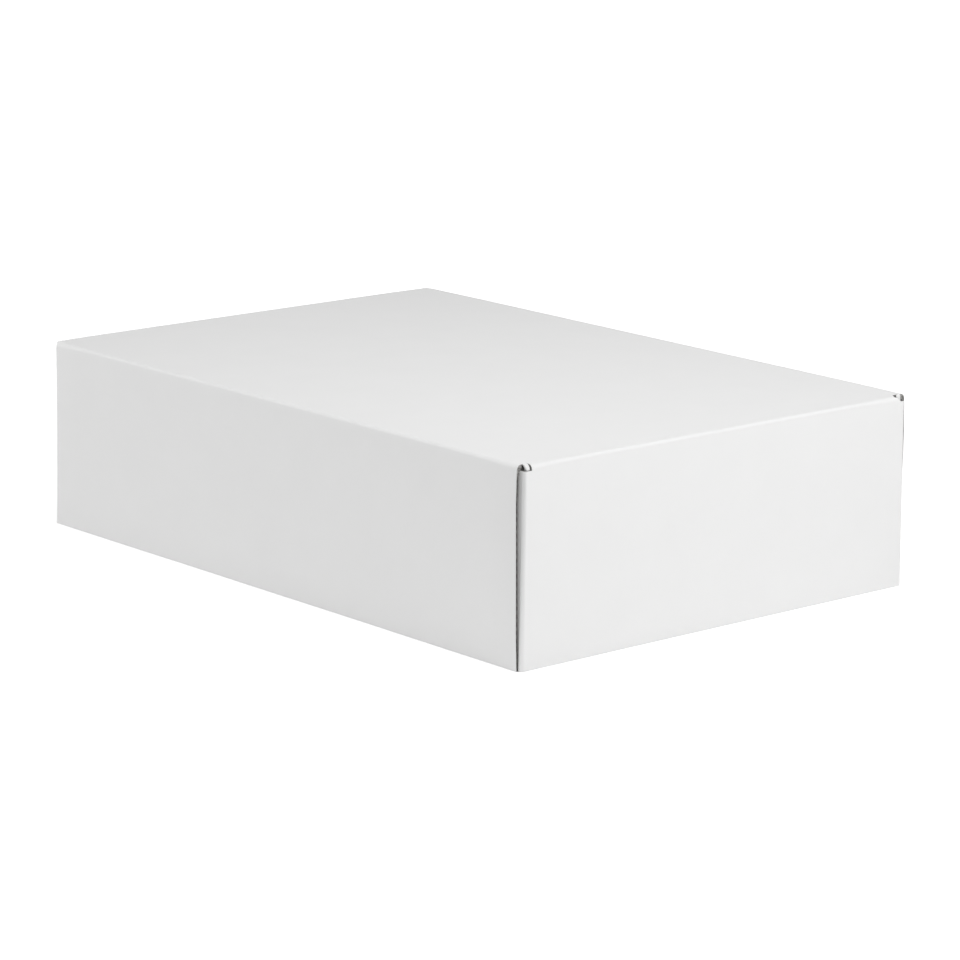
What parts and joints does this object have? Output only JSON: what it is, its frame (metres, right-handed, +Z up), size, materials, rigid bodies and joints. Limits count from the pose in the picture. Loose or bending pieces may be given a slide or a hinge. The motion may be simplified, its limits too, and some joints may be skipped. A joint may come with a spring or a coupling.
{
  "type": "bottle shipping box",
  "caption": "Plain white corrugated shipping box for bottles lying side by side: full-depth lift-off lid over an inner tray with a slotted insert.",
  "frame": {"origin": "middle of the underside, on the surface the box stands on", "axes": "+X along the box, towards the bottles' feet; +Y across the box; +Z up, the way the lid lifts off"},
  "size_m": [0.36, 0.25, 0.095],
  "materials": {
    "lid_board": "white-lined E-flute corrugated board, matt, grey raw edges",
    "tray_board": "white-lined E-flute corrugated board, matt, grey raw edges",
    "insert_board": "white-lined E-flute corrugated board, matt, grey raw edges"
  },
  "bodies": {
    "tray": {"base_tray": "tray_board", "divider_near": "insert_board", "divider_far": "insert_board", "foot_cradle": "insert_board", "shoulder_cradle": "insert_board", "neck_holder": "insert_board"},
    "lid": {"lid": "lid_board"}
  },
  "joints": [
    {"name": "lid_lift", "type": "slide", "parent": "tray", "child": "lid", "axis": [0, 0, 1], "range_m": [0, 0.1]}
  ]
}
